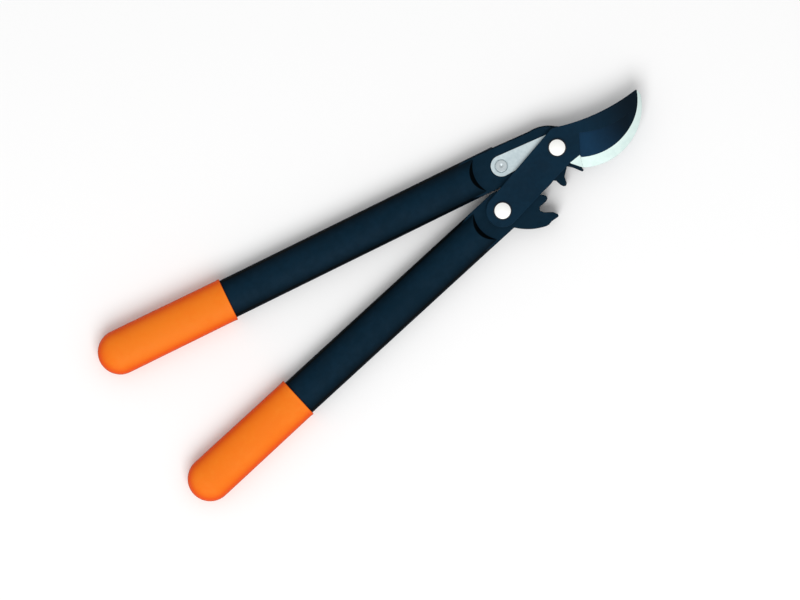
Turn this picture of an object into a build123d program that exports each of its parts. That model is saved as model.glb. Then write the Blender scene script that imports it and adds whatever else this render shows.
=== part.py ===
from build123d import *
from math import asin, cos, degrees, hypot, radians, sin, sqrt
import os

# Long-handled geared bypass shears, millimetres, lying flat with the jaws closed.
# The origin is on the main pivot's axis at the plane that the tool rests on.
# +X runs from the grips to the blade's tip, +Z up through the pivots.

# ---- plan layout ----
PIVOT_SPACING = 63.9        # main pivot to link pivot
HANDLE_GAP = 1.25           # between the upper tube's side and the lower head, with the jaws closed
UPPER_ANGLE = -8.24         # direction in which the upper tube points to its head
LOWER_ANGLE = 8.07          # the same for the lower tube
UPPER_OFFSET = 7.24         # the upper tube's axis passes this far beside the main pivot
UPPER_REACH = 386.8         # main pivot to the end of the upper grip, along the tube
LOWER_REACH = 321.3         # link pivot to the end of the lower grip
GRIP_LENGTH = 109.4

# ---- sections ----
TUBE_WIDTH = 31.0
TUBE_THICKNESS = 20.0
TUBE_END_SHARE = 0.7        # radius of the oval's narrow ends over half its thickness
TUBE_WALL = 2.8
TUBE_HOLLOW_END = 84.0      # the hollow stops this far behind the pivot
GRIP_SIDE_WALL = 1.5        # at the grip's mouth
GRIP_FACE_WALL = 2.0
GRIP_SWELL = 0.3            # the grip is this much wider, per side, at its domed end
GRIP_LIP = 1.2              # rounding of the grip's mouth
GRIP_FIT = 0.1
PLUG_FLANGE = 2.0
PLUG_DEPTH = 18.0
PLUG_WALL = 2.2
PLUG_FIT = 0.1

# ---- stack, from the plane of rest upwards ----
NUT_HEIGHT = 5.0
NUT_WASHER_THICKNESS = 1.0
HEAD_BELOW_TUBE = 0.4       # the head's back stands this far below the tube
GEAR_BACK = 3.0
UPPER_GEAR_FACE = 12.8
POCKET_FLOOR = 13.0         # the hook and both bushes sit on this level
HOOK_THICKNESS = 4.0
HOOK_PROUD = 0.2            # the hook's face above the moulded head's face
BLADE_GAP = 0.1
BLADE_THICKNESS = 4.0
BLADE_RIM = 0.35            # chamfer round the blade's face
END_PLAY = 0.2
HEAD_WASHER_THICKNESS = 0.8
SLIDE_WASHER_THICKNESS = 1.0

# ---- pivots and fasteners ----
BOLT_RADIUS = 3.0
BOLT_CLEARANCE = 0.05
BOLT_END_CHAMFER = 0.5
BUSH_RADIUS = 5.0
SEAT_CLEARANCE = 0.02
RUNNING_CLEARANCE = 0.05
BOLT_HEAD_RADIUS = 6.2
BOLT_HEAD_RIM = 1.1
BOLT_HEAD_DOME = 1.5
HEAD_WASHER_RADIUS = 7.0
SLIDE_WASHER_RADIUS = 9.0
NUT_WASHER_RADIUS = 6.5
NUT_ACROSS_FLATS = 10.0
NUT_SIDES = 6
NUT_CHAMFER = 0.8
NUT_RECESS_CLEARANCE = 1.5
RIVET_RADIUS = 2.5
RIVET_HEAD_RADIUS = 4.6
RIVET_HEAD_HEIGHT = 1.3
RIVET_SEAT_RADIUS = 5.2
RIVET_SEAT_DEPTH = 1.0
RIVET_DIMPLE_RADIUS = 1.7
RIVET_DIMPLE_DEPTH = 0.8
RIVET_TAIL_RADIUS = 4.2
RIVET_TAIL_HEIGHT = 1.2
BURR_RADIUS = 5.4
BURR_THICKNESS = 1.0
BURR_RECESS_CLEARANCE = 0.6

# ---- moulded heads ----
HUB_RADIUS = 16.3           # rounding of the upper head about the main pivot
SHOULDER_RADIUS = 22.2      # foot of the slope where the tube drops to the head's face
SHOULDER_SLOPE = 3.3        # the slope's run from foot to the tube's top
HEAD_TAIL = 52.0            # the head's web runs this far back under the tube
HEAD_TAIL_TIP = 6.0
HEAD_EDGE_RADIUS = 1.6
MOULD_ROUNDING = 0.6        # corners of the teeth and webs, in plan
RIVET_SPOT = (-44.5, 6.3)   # in the upper tube's directions, from the main pivot
HEAD_CORNER = (-14.0, 20.7)  # the same, as are the points below
HEAD_CREST = (1.65, 18.2)
HEAD_NOSE_ANGLE = 65.0      # where the crest runs into the hub's rounding
HEAD_WEB = [(-22.0, -3.0), (-29.5, -4.6)]
HEAD_WEB_END = -34.5

# ---- gear teeth ----
GEAR_RATIO = 1.10           # upper handle's turn over the lower handle's, about the blade
UPPER_PITCH = PIVOT_SPACING / (1 + GEAR_RATIO)
LOWER_PITCH = PIVOT_SPACING - UPPER_PITCH
UPPER_ROOT_DROP = 5.2
LOWER_ROOT_DROP = 4.9
UPPER_SECTOR = (-9.8, 43.2)
LOWER_SECTOR = (-66.8, 4.2)
# directions count from the line of centres; each tooth has the direction of its middle, then (height
# over the pitch line, half width towards rising angles, half width towards falling angles) from root to tip
UPPER_TEETH = [
    (20.9, [(-6.0, 6.2, 5.6), (-3.0, 5.4, 4.4), (0.0, 4.0, 3.7), (3.3, 2.3, 2.3), (4.2, 0.9, 0.9)]),
    (52.2, [(-13.4, 4.4, 5.0), (-7.8, 1.3, 5.4), (-4.8, 1.7, 5.2), (-2.1, 2.0, 3.0), (-0.5, 1.1, 0.8)]),
    (89.7, [(-14.1, 3.3, 5.4), (-10.9, 1.7, 3.4), (-8.2, 1.5, 2.3), (-6.0, 1.2, 1.6), (-3.6, 0.6, 0.7)]),
]
LOWER_TEETH = [
    (-4.8, [(-5.6, 4.6, 5.4), (-4.3, 3.9, 3.8), (0.0, 2.8, 2.8), (2.9, 1.3, 1.3)]),
    (-32.6, [(-5.6, 5.6, 5.6), (-2.2, 3.8, 4.0), (0.7, 2.4, 2.5), (2.3, 0.9, 0.9)]),
    (-55.4, [
        (-6.0, 3.6, 5.0), (-1.8, 2.3, 6.3), (3.6, 3.0, 7.0), (5.2, 3.3, 3.8), (9.0, 2.2, 0.3),
        (9.6, 1.2, -0.2)]),
]
LOWER_WEB_START = 2.0       # the web under the lower sector leaves the tube this far behind the pivot
LOWER_WEB_BELLY = (31.4, -73.8)     # radius about the link pivot and direction
LOWER_WEB_END = (37.3, -66.3)

# ---- blade ----
TAIL_RADIUS = 12.6
NECK_TOP = (4.5, 14.5)
NECK_ROUNDING = 3.0
SPINE_START = (9.1, 13.1)
SPINE_MIDDLE = (35.2, 5.4)
SPINE_END = (75.3, 2.7)
EDGE_END = (75.9, -2.7)
EDGE_MIDDLE = (44.6, -29.5)
HEEL = (7.9, -23.9)
NECK_BOTTOM = (1.3, -15.2)
TIP_ROUNDING = 1.2
EDGE_LAND = 0.5             # thickness left at the cutting edge
BEVEL_START = (14.2, -13.7)
BEVEL_MIDDLE = (42.2, -21.9)
BEVEL_END = (73.7, -1.2)
FACE_STEP_TOP = (20.2, 0.2)
FACE_STEP_BOTTOM = (11.2, -14.5)
FACE_STEP_DEPTH = 1.2
FACE_MIDDLE = (35.7, -6.7)
FACE_END = (60.0, -9.0)

# ---- hook ----
HOOK_HUB_RADIUS = 13.0
TANG_HALF_WIDTH = 8.1
TANG_TOP_END = (-3.0, 12.65)
TANG_BOTTOM_END = (-12.9, -0.8)
POCKET_CLEARANCE = 0.15
HOOK_HEEL = (8.6, -19.4)
HOOK_BACK_MIDDLE = (36.0, -29.2)
HOOK_BACK_END = (69.0, -11.0)
HOOK_TIP = (70.4, -7.2)
HOOK_MOUTH_END = (67.5, -4.5)
HOOK_MOUTH_MIDDLE = (38.0, -17.6)
HOOK_THROAT = (11.5, -6.0)
HOOK_ROOT = (2.5, -12.0)
NECK_OPENING = (-95.0, 0.0)

# ---- derived levels and places ----
TUBE_MIDDLE = TUBE_THICKNESS / 2 + GRIP_FACE_WALL
TUBE_TOP = TUBE_MIDDLE + TUBE_THICKNESS / 2
HEAD_BACK = TUBE_MIDDLE - TUBE_THICKNESS / 2 - HEAD_BELOW_TUBE
RECESS_FLOOR = NUT_HEIGHT + NUT_WASHER_THICKNESS
HOOK_FACE = POCKET_FLOOR + HOOK_THICKNESS
HEAD_FACE = HOOK_FACE - HOOK_PROUD
BLADE_BACK = HOOK_FACE + BLADE_GAP
BLADE_FACE = BLADE_BACK + BLADE_THICKNESS
BUSH_TOP = BLADE_FACE + END_PLAY
BOLT_SEAT = BUSH_TOP + HEAD_WASHER_THICKNESS
LINK_ASIDE = TUBE_WIDTH - UPPER_OFFSET + HANDLE_GAP
LINK_ANGLE = 180 + UPPER_ANGLE + degrees(asin(LINK_ASIDE / PIVOT_SPACING))
UPPER_GEAR_TURN = LINK_ANGLE - UPPER_ANGLE
LOWER_GEAR_TURN = LINK_ANGLE - 180 - LOWER_ANGLE
LINK = (PIVOT_SPACING * cos(radians(LINK_ANGLE)), PIVOT_SPACING * sin(radians(LINK_ANGLE)))
UPPER_PLACE = Rot(0, 0, UPPER_ANGLE)
LOWER_PLACE = Pos(*LINK) * Rot(0, 0, LOWER_ANGLE)
LINK_PLACE = Pos(*LINK)
RIVET_PLACE = UPPER_PLACE * Pos(*RIVET_SPOT)
GRIP_END_RADIUS = TUBE_WIDTH / 2 + GRIP_SIDE_WALL + GRIP_SWELL
TUBE_SETBACK = GRIP_END_RADIUS + PLUG_FLANGE + GRIP_LIP


def polar(radius, angle):
    """Point at a radius and a direction in degrees."""
    return (radius * cos(radians(angle)), radius * sin(radians(angle)))


def disc(radius, bottom, top):
    """Upright round bar between two levels."""
    return Pos(0, 0, bottom) * extrude(Circle(radius), top - bottom)


def ring(outer, inner, bottom, top):
    """Washer or sleeve between two levels."""
    return Pos(0, 0, bottom) * extrude(Circle(outer) - Circle(inner), top - bottom)


def prism(sketch, bottom, top):
    """Flat outline raised between two levels."""
    return Pos(0, 0, bottom) * extrude(sketch, top - bottom)


def outline(*points):
    """Closed flat outline with straight sides."""
    return make_face(Polyline(*points, close=True))


def above(first, second, third):
    """Large block on the upper side of the plane through three points."""
    size = 2 * PIVOT_SPACING
    first = Vector(*first)
    normal = (Vector(*second) - first).cross(Vector(*third) - first)
    if normal.Z < 0:
        normal = -normal
    return Plane(origin=first, z_dir=normal) * Pos(0, 0, size / 2) * Box(size, size, size)


def oval_bar(grow, rear, front):
    """Bar along X with the tube's section of four tangent arcs, made larger all round by grow."""
    half_width = TUBE_WIDTH / 2 + grow
    half_thickness = TUBE_THICKNESS / 2 + grow
    end_radius = TUBE_END_SHARE * TUBE_THICKNESS / 2 + grow
    inset = half_width - end_radius
    flat_radius = (inset ** 2 + half_thickness ** 2 - end_radius ** 2) / (half_thickness - end_radius) / 2
    lean = asin(inset / (flat_radius - end_radius))
    join = (inset + end_radius * sin(lean), end_radius * cos(lean))
    below = (join[0], -join[1])
    face = ThreePointArc((-join[0], join[1]), (0, half_thickness), join)
    face += ThreePointArc(join, (half_width, 0), below)
    face += ThreePointArc(below, (0, -half_thickness), (-join[0], -join[1]))
    face += ThreePointArc((-join[0], -join[1]), (-half_width, 0), (-join[0], join[1]))
    section = Plane.YZ * make_face(face)
    return Pos(rear, 0, TUBE_MIDDLE) * extrude(section, front - rear)


# ---- handles ----
def tube(reach, shoulder_spot):
    """Hollow oval tube whose top slopes down to the head's face about the shoulder's centre."""
    spot_x, spot_y = shoulder_spot
    rear = TUBE_SETBACK - reach
    bar = oval_bar(0, rear, spot_x)
    core = oval_bar(-TUBE_WALL, rear, -TUBE_HOLLOW_END)
    depth = 2 * (TUBE_TOP - HEAD_FACE)
    dish = Cone(SHOULDER_RADIUS, SHOULDER_RADIUS + 2 * SHOULDER_SLOPE, depth)
    return bar - core - Pos(spot_x, spot_y, HEAD_FACE + depth / 2) * dish


def head_tail(start):
    """Outline of the web that runs back from the head under the tube."""
    half = TUBE_WIDTH / 2
    tip = start - HEAD_TAIL
    return [(start, -half), (tip, -HEAD_TAIL_TIP / 2), (tip, HEAD_TAIL_TIP / 2), (start, half)]


def tooth(pitch, middle, levels):
    """One gear tooth, with the spoke that carries it from the origin."""
    rising = []
    falling = []
    for height, ahead, behind in levels:
        radius = pitch + height
        rising.append(polar(radius, middle + ahead / radius / radians(1)))
        falling.append(polar(radius, middle - behind / radius / radians(1)))
    return outline((0, 0), *falling, *reversed(rising))


def gear(pitch, root_drop, sector, teeth):
    """Toothed sector about the origin, with the line of centres along X."""
    start, end = sector
    radius = pitch - root_drop
    rim = Line((0, 0), polar(radius, start))
    rim += ThreePointArc(polar(radius, start), polar(radius, (start + end) / 2), polar(radius, end))
    rim += Line(polar(radius, end), (0, 0))
    shape = make_face(rim)
    for middle, levels in teeth:
        shape += tooth(pitch, middle, levels)
    return shape


def rounded(shape):
    """The same flat outline with its outward corners rounded off."""
    return offset(offset(shape, -MOULD_ROUNDING), MOULD_ROUNDING)


def pivot_bore():
    """Space for a pivot's bolt, nut washer and nut, from the head's back up to the bush's seat."""
    recess_radius = NUT_WASHER_RADIUS + NUT_RECESS_CLEARANCE
    return disc(BOLT_RADIUS + BOLT_CLEARANCE, 0, POCKET_FLOOR) + disc(recess_radius, 0, RECESS_FLOOR)


def upper_handle():
    """Moulded handle that carries the hook: tube, head and the gear sector about the main pivot."""
    half = TUBE_WIDTH / 2
    tail = [(x, y + UPPER_OFFSET) for x, y in head_tail(RIVET_SPOT[0] - SHOULDER_RADIUS)]
    web_end = (HEAD_WEB_END, UPPER_OFFSET - half)
    nose = polar(HUB_RADIUS, HEAD_NOSE_ANGLE)
    side = Polyline(nose, (0, 0), *HEAD_WEB, web_end, *tail, HEAD_CORNER)
    crest = ThreePointArc(HEAD_CORNER, HEAD_CREST, nose)
    plate = make_face(side + crest) + Circle(HUB_RADIUS)
    head = prism(plate, HEAD_BACK, HEAD_FACE)
    rim = head.edges().filter_by(Plane.XY).group_by(Axis.Z)[-1]
    head = fillet(rim.sort_by_distance((*HEAD_CORNER, HEAD_FACE))[:2], HEAD_EDGE_RADIUS)
    wheel = Circle(HUB_RADIUS) + gear(UPPER_PITCH, UPPER_ROOT_DROP, UPPER_SECTOR, UPPER_TEETH)
    wheel = Rot(0, 0, UPPER_GEAR_TURN) * rounded(wheel)
    body = Pos(0, UPPER_OFFSET) * tube(UPPER_REACH, (RIVET_SPOT[0], RIVET_SPOT[1] - UPPER_OFFSET))
    body += head + prism(wheel, GEAR_BACK, UPPER_GEAR_FACE)
    body -= prism(hook_pocket(), POCKET_FLOOR, TUBE_TOP)
    body -= pivot_bore()
    burr_radius = BURR_RADIUS + BURR_RECESS_CLEARANCE
    rivet_hole = disc(RIVET_RADIUS + SEAT_CLEARANCE, 0, POCKET_FLOOR) + disc(burr_radius, 0, RECESS_FLOOR)
    body -= Pos(*RIVET_SPOT) * rivet_hole
    return UPPER_PLACE * body


def lower_handle():
    """Moulded lever: tube, head and the gear sector about the link pivot."""
    half = TUBE_WIDTH / 2
    plate = outline(*head_tail(-SHOULDER_RADIUS), (0, half), (0, -half)) + Circle(half)
    wheel = Rot(0, 0, LOWER_GEAR_TURN) * gear(LOWER_PITCH, LOWER_ROOT_DROP, LOWER_SECTOR, LOWER_TEETH)
    belly = polar(LOWER_WEB_BELLY[0], LOWER_WEB_BELLY[1] + LOWER_GEAR_TURN)
    corner = polar(LOWER_WEB_END[0], LOWER_WEB_END[1] + LOWER_GEAR_TURN)
    waist = (-LOWER_WEB_START, -half)
    web = make_face(Polyline(corner, (0, 0), waist) + ThreePointArc(waist, belly, corner))
    head = prism(plate, HEAD_BACK, HEAD_FACE) + prism(rounded(plate + wheel + web), GEAR_BACK, HEAD_FACE)
    body = tube(LOWER_REACH, (0, 0)) + head
    body -= pivot_bore()
    body -= disc(BUSH_RADIUS + SEAT_CLEARANCE, POCKET_FLOOR, HEAD_FACE)
    washer_seat = HOOK_FACE - SLIDE_WASHER_THICKNESS
    body -= disc(SLIDE_WASHER_RADIUS + SEAT_CLEARANCE, washer_seat, HEAD_FACE)
    return LOWER_PLACE * body


def grip(reach):
    """Soft sleeve with a domed end, open at its mouth."""
    mouth_radius = TUBE_WIDTH / 2 + GRIP_SIDE_WALL
    mouth = GRIP_LENGTH - reach
    dome = GRIP_END_RADIUS - reach
    bend = GRIP_END_RADIUS / sqrt(2)
    tip = (-reach, 0)
    rim = (mouth - GRIP_LIP, mouth_radius)
    profile = ThreePointArc(tip, (dome - bend, bend), (dome, GRIP_END_RADIUS))
    profile += Polyline((dome, GRIP_END_RADIUS), rim, (mouth, mouth_radius - GRIP_LIP), (mouth, 0), tip)
    shell = revolve(make_face(profile), Axis.X)
    flat = (TUBE_THICKNESS / 2 + GRIP_FACE_WALL) / GRIP_END_RADIUS
    shell = Pos(0, 0, TUBE_MIDDLE) * scale(shell, by=(1, 1, flat))
    bore_end = TUBE_SETBACK - PLUG_FLANGE - reach
    bore = oval_bar(GRIP_FIT, bore_end, mouth + GRIP_LIP)
    return shell - bore


def end_plug(reach):
    """Cup that closes the tube's open end inside the grip."""
    rear = TUBE_SETBACK - reach
    flange = oval_bar(0, rear - PLUG_FLANGE, rear)
    stem = oval_bar(-TUBE_WALL - PLUG_FIT, rear - PLUG_FLANGE, rear + PLUG_DEPTH)
    core = oval_bar(-TUBE_WALL - PLUG_FIT - PLUG_WALL, rear, rear + PLUG_DEPTH)
    return flange + stem - core


# ---- steel ----
def tangent_point(centre, radius, point, side):
    """Point where the line from a point touches a circle, on the side given as +1 or -1."""
    dx = centre[0] - point[0]
    dy = centre[1] - point[1]
    distance = hypot(dx, dy)
    along = (distance ** 2 - radius ** 2) / distance
    across = side * radius * sqrt(distance ** 2 - radius ** 2) / distance
    touch_x = point[0] + (dx * along - dy * across) / distance
    touch_y = point[1] + (dy * along + dx * across) / distance
    return (touch_x, touch_y)


def blade_outline():
    """Blade from its tip to the round tail about the link pivot."""
    upper_touch = tangent_point(LINK, TAIL_RADIUS, NECK_TOP, -1)
    lower_touch = tangent_point(LINK, TAIL_RADIUS, NECK_BOTTOM, 1)
    tail_end = polar(PIVOT_SPACING + TAIL_RADIUS, LINK_ANGLE)
    side = Polyline(upper_touch, NECK_TOP, SPINE_START)
    side += ThreePointArc(SPINE_START, SPINE_MIDDLE, SPINE_END)
    side += Line(SPINE_END, EDGE_END)
    side += ThreePointArc(EDGE_END, EDGE_MIDDLE, HEEL)
    side += Polyline(HEEL, NECK_BOTTOM, lower_touch)
    side += ThreePointArc(lower_touch, tail_end, upper_touch)
    face = make_face(side)
    face = fillet(face.vertices().sort_by_distance(NECK_TOP)[0], NECK_ROUNDING)
    return fillet(face.vertices().sort_by_distance(SPINE_END)[0], TIP_ROUNDING)


def arc_circle(start, middle, end, level):
    """Full circle, at a level, that carries the arc through three points."""
    arc = ThreePointArc(start, middle, end)
    return Pos(arc.arc_center.X, arc.arc_center.Y, level) * Circle(arc.radius)


def blade():
    """Cutting blade in one piece with the link plate, ground along its edge."""
    body = prism(blade_outline(), BLADE_BACK, BLADE_FACE)
    body = chamfer(body.faces().sort_by(Axis.Z)[-1].edges(), BLADE_RIM)
    edge_level = BLADE_BACK + EDGE_LAND
    foot = arc_circle(EDGE_END, EDGE_MIDDLE, HEEL, edge_level)
    brow = arc_circle(BEVEL_END, BEVEL_MIDDLE, BEVEL_START, BLADE_FACE)
    reach = 2 * SPINE_END[0]
    outside = (2 * HEEL[0] - FACE_STEP_BOTTOM[0], 2 * HEEL[1] - FACE_STEP_BOTTOM[1])
    ground = outline(FACE_STEP_BOTTOM, outside, (0, -reach), (reach, -reach), (reach, 0), SPINE_MIDDLE)
    body -= prism(ground, edge_level, BLADE_FACE) - loft([foot, brow], ruled=True)
    facet = above((*NECK_BOTTOM, BLADE_FACE), (*FACE_STEP_BOTTOM, BLADE_FACE), (*HEEL, edge_level))
    corner = outline(NECK_BOTTOM, FACE_STEP_BOTTOM, outside, (-HEEL[0], HEEL[1]))
    body -= prism(corner, edge_level, BLADE_FACE) & facet
    hollow = above((*FACE_STEP_TOP, BLADE_FACE - FACE_STEP_DEPTH),
                   (*FACE_STEP_BOTTOM, BLADE_FACE - FACE_STEP_DEPTH), (*FACE_END, BLADE_FACE))
    field = ThreePointArc(FACE_STEP_TOP, FACE_MIDDLE, FACE_END)
    field += Polyline(FACE_END, (FACE_END[0], -reach), (FACE_STEP_BOTTOM[0], -reach), FACE_STEP_BOTTOM,
                      FACE_STEP_TOP)
    body -= prism(make_face(field), edge_level, BLADE_FACE) & hollow
    body -= disc(BUSH_RADIUS + RUNNING_CLEARANCE, BLADE_BACK, BLADE_FACE)
    return body - LINK_PLACE * disc(BUSH_RADIUS + RUNNING_CLEARANCE, BLADE_BACK, BLADE_FACE)


def tang_outline(grow):
    """Hub and tang of the hook in the upper tube's directions, made larger all round by grow."""
    x, y = RIVET_SPOT
    half = TANG_HALF_WIDTH + grow
    top_end = (TANG_TOP_END[0], TANG_TOP_END[1] + grow)
    bottom_end = (TANG_BOTTOM_END[0], TANG_BOTTOM_END[1] - grow)
    bar = outline((x, y + half), top_end, (0, 0), bottom_end, (x, y - half))
    return bar + Circle(HOOK_HUB_RADIUS + grow) + Pos(x, y) * Circle(half)


def hook_pocket():
    """Outline of the pocket for the hook, open towards the hook's beak."""
    start, end = NECK_OPENING
    reach = 2 * HUB_RADIUS
    opening = outline((0, 0), polar(reach, start), polar(reach, (start + end) / 2), polar(reach, end))
    return tang_outline(POCKET_CLEARANCE) + opening


def hook():
    """Counter blade: a steel hook whose tang is riveted into the upper head."""
    beak = Polyline(HOOK_THROAT, (0, 0), HOOK_ROOT, HOOK_HEEL)
    beak += ThreePointArc(HOOK_HEEL, HOOK_BACK_MIDDLE, HOOK_BACK_END)
    beak += ThreePointArc(HOOK_BACK_END, HOOK_TIP, HOOK_MOUTH_END)
    beak += ThreePointArc(HOOK_MOUTH_END, HOOK_MOUTH_MIDDLE, HOOK_THROAT)
    body = prism(UPPER_PLACE * tang_outline(0) + make_face(beak), POCKET_FLOOR, HOOK_FACE)
    body -= disc(BUSH_RADIUS + SEAT_CLEARANCE, POCKET_FLOOR, HOOK_FACE)
    rivet_hole = disc(RIVET_RADIUS + SEAT_CLEARANCE, POCKET_FLOOR, HOOK_FACE)
    rivet_hole += disc(RIVET_SEAT_RADIUS, HOOK_FACE - RIVET_SEAT_DEPTH, HOOK_FACE)
    return body - RIVET_PLACE * rivet_hole


# ---- fasteners ----
def pivot_bolt():
    """Domed pivot bolt from the plane of rest to its head."""
    crown = BOLT_SEAT + BOLT_HEAD_RIM + BOLT_HEAD_DOME
    ball = (BOLT_HEAD_RADIUS ** 2 + BOLT_HEAD_DOME ** 2) / (2 * BOLT_HEAD_DOME)
    head = disc(BOLT_HEAD_RADIUS, BOLT_SEAT, crown) & Pos(0, 0, crown - ball) * Sphere(ball)
    shank = disc(BOLT_RADIUS, 0, BOLT_SEAT)
    return head + chamfer(shank.edges().sort_by(Axis.Z)[0], BOLT_END_CHAMFER)


def pivot_nut():
    """Hexagon nut with chamfered corners on both faces."""
    corner = NUT_ACROSS_FLATS / 2 / cos(radians(180 / NUT_SIDES))
    bar = extrude(RegularPolygon(corner, NUT_SIDES), NUT_HEIGHT)
    blank = chamfer(disc(corner, 0, NUT_HEIGHT).edges(), NUT_CHAMFER)
    return (bar & blank) - disc(BOLT_RADIUS + SEAT_CLEARANCE, 0, NUT_HEIGHT)


def pivot_bush():
    """Sleeve that the blade turns on."""
    return ring(BUSH_RADIUS, BOLT_RADIUS + BOLT_CLEARANCE, POCKET_FLOOR, BUSH_TOP)


def head_washer():
    """Washer between the bush's end and the bolt's head."""
    return ring(HEAD_WASHER_RADIUS, BOLT_RADIUS + BOLT_CLEARANCE, BUSH_TOP, BOLT_SEAT)


def nut_washer():
    """Washer between the moulded head and the nut."""
    return ring(NUT_WASHER_RADIUS, BOLT_RADIUS + BOLT_CLEARANCE, NUT_HEIGHT, RECESS_FLOOR)


def slide_washer():
    """Low-friction washer that carries the blade's tail."""
    bottom = HOOK_FACE - SLIDE_WASHER_THICKNESS
    return ring(SLIDE_WASHER_RADIUS, BUSH_RADIUS + SEAT_CLEARANCE, bottom, HOOK_FACE)


def tang_rivet():
    """Rivet with a dimpled head above and a clenched tail below."""
    seat = HOOK_FACE - RIVET_SEAT_DEPTH
    crown = seat + RIVET_HEAD_HEIGHT
    tail_top = RECESS_FLOOR - BURR_THICKNESS
    shank = disc(RIVET_RADIUS, tail_top, seat)
    head = fillet(disc(RIVET_HEAD_RADIUS, seat, crown).edges().sort_by(Axis.Z)[-1], RIVET_SEAT_DEPTH / 2)
    tail = disc(RIVET_TAIL_RADIUS, tail_top - RIVET_TAIL_HEIGHT, tail_top)
    tail = fillet(tail.edges().sort_by(Axis.Z)[0], RIVET_TAIL_HEIGHT / 2)
    dimple = Pos(0, 0, crown - RIVET_DIMPLE_DEPTH / 2) * Cone(0, RIVET_DIMPLE_RADIUS, RIVET_DIMPLE_DEPTH)
    return shank + head + tail - dimple


def rivet_burr():
    """Washer under the rivet's clenched tail."""
    return ring(BURR_RADIUS, RIVET_RADIUS + SEAT_CLEARANCE, RECESS_FLOOR - BURR_THICKNESS, RECESS_FLOOR)


# ---- assembly ----
parts = {
    "upper_handle": upper_handle(),
    "lower_handle": lower_handle(),
    "upper_grip": UPPER_PLACE * Pos(0, UPPER_OFFSET) * grip(UPPER_REACH),
    "lower_grip": LOWER_PLACE * grip(LOWER_REACH),
    "upper_end_plug": UPPER_PLACE * Pos(0, UPPER_OFFSET) * end_plug(UPPER_REACH),
    "lower_end_plug": LOWER_PLACE * end_plug(LOWER_REACH),
    "blade": blade(),
    "hook": hook(),
    "tang_rivet": RIVET_PLACE * tang_rivet(),
    "tang_rivet_burr": RIVET_PLACE * rivet_burr(),
    "link_slide_washer": LINK_PLACE * slide_washer(),
}
for pivot, place in (("main", Pos(0, 0)), ("link", LINK_PLACE)):
    parts[pivot + "_pivot_bolt"] = place * pivot_bolt()
    parts[pivot + "_pivot_nut"] = place * pivot_nut()
    parts[pivot + "_pivot_bush"] = place * pivot_bush()
    parts[pivot + "_head_washer"] = place * head_washer()
    parts[pivot + "_nut_washer"] = place * nut_washer()

os.makedirs("parts", exist_ok=True)
for name, shape in parts.items():
    export_step(shape, "parts/" + name + ".step")
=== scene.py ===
"""Looks of the long-handled geared bypass shears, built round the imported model.

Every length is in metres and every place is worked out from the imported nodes. The moulded
handles, the blade and the hook are rebuilt with rounded edges, the sleeves are drawn afresh, and
the fasteners, washers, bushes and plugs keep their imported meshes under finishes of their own.
"""

import logging
import math
from dataclasses import dataclass, field, replace
from enum import Enum

import bmesh
import bpy
from mathutils import Matrix, Vector
from mathutils.bvhtree import BVHTree


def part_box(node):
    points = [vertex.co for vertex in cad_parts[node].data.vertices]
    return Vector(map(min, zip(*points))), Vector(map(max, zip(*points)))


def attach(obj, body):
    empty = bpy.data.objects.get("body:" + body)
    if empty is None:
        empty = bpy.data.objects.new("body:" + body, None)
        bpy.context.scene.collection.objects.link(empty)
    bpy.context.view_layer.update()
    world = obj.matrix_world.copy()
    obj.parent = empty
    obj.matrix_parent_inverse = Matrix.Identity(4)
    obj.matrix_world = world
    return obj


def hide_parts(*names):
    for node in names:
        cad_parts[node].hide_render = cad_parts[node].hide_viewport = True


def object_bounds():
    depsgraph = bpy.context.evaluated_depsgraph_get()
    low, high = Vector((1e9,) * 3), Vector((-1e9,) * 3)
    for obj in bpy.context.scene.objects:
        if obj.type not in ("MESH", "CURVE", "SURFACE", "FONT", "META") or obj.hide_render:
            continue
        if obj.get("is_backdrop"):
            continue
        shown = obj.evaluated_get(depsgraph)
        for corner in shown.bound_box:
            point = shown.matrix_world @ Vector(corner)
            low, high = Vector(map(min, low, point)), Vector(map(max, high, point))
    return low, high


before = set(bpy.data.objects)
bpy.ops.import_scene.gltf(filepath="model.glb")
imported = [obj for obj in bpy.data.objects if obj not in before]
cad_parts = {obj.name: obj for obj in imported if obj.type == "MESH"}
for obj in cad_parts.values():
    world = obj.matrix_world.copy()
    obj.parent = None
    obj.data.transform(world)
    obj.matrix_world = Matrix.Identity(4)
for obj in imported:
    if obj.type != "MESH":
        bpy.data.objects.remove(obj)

LOG = logging.getLogger("shears")
MM = 0.001
Colour = tuple[float, float, float]
WELD = 0.001 * MM                # corners closer than this are one
FLAT_TURN = math.radians(0.3)    # faces that turn by less are one


def srgb(red: float, green: float, blue: float) -> Colour:
    """Linear colour of a display colour.

    Args:
        red: Display red, 0 to 255.
        green: Display green, 0 to 255.
        blue: Display blue, 0 to 255.

    Returns:
        The same colour in linear light.
    """
    def linear(value: float) -> float:
        """Linear light of one display channel."""
        share = value / 255
        return share / 12.92 if share <= 0.04045 else ((share + 0.055) / 1.055) ** 2.4

    return linear(red), linear(green), linear(blue)


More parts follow.
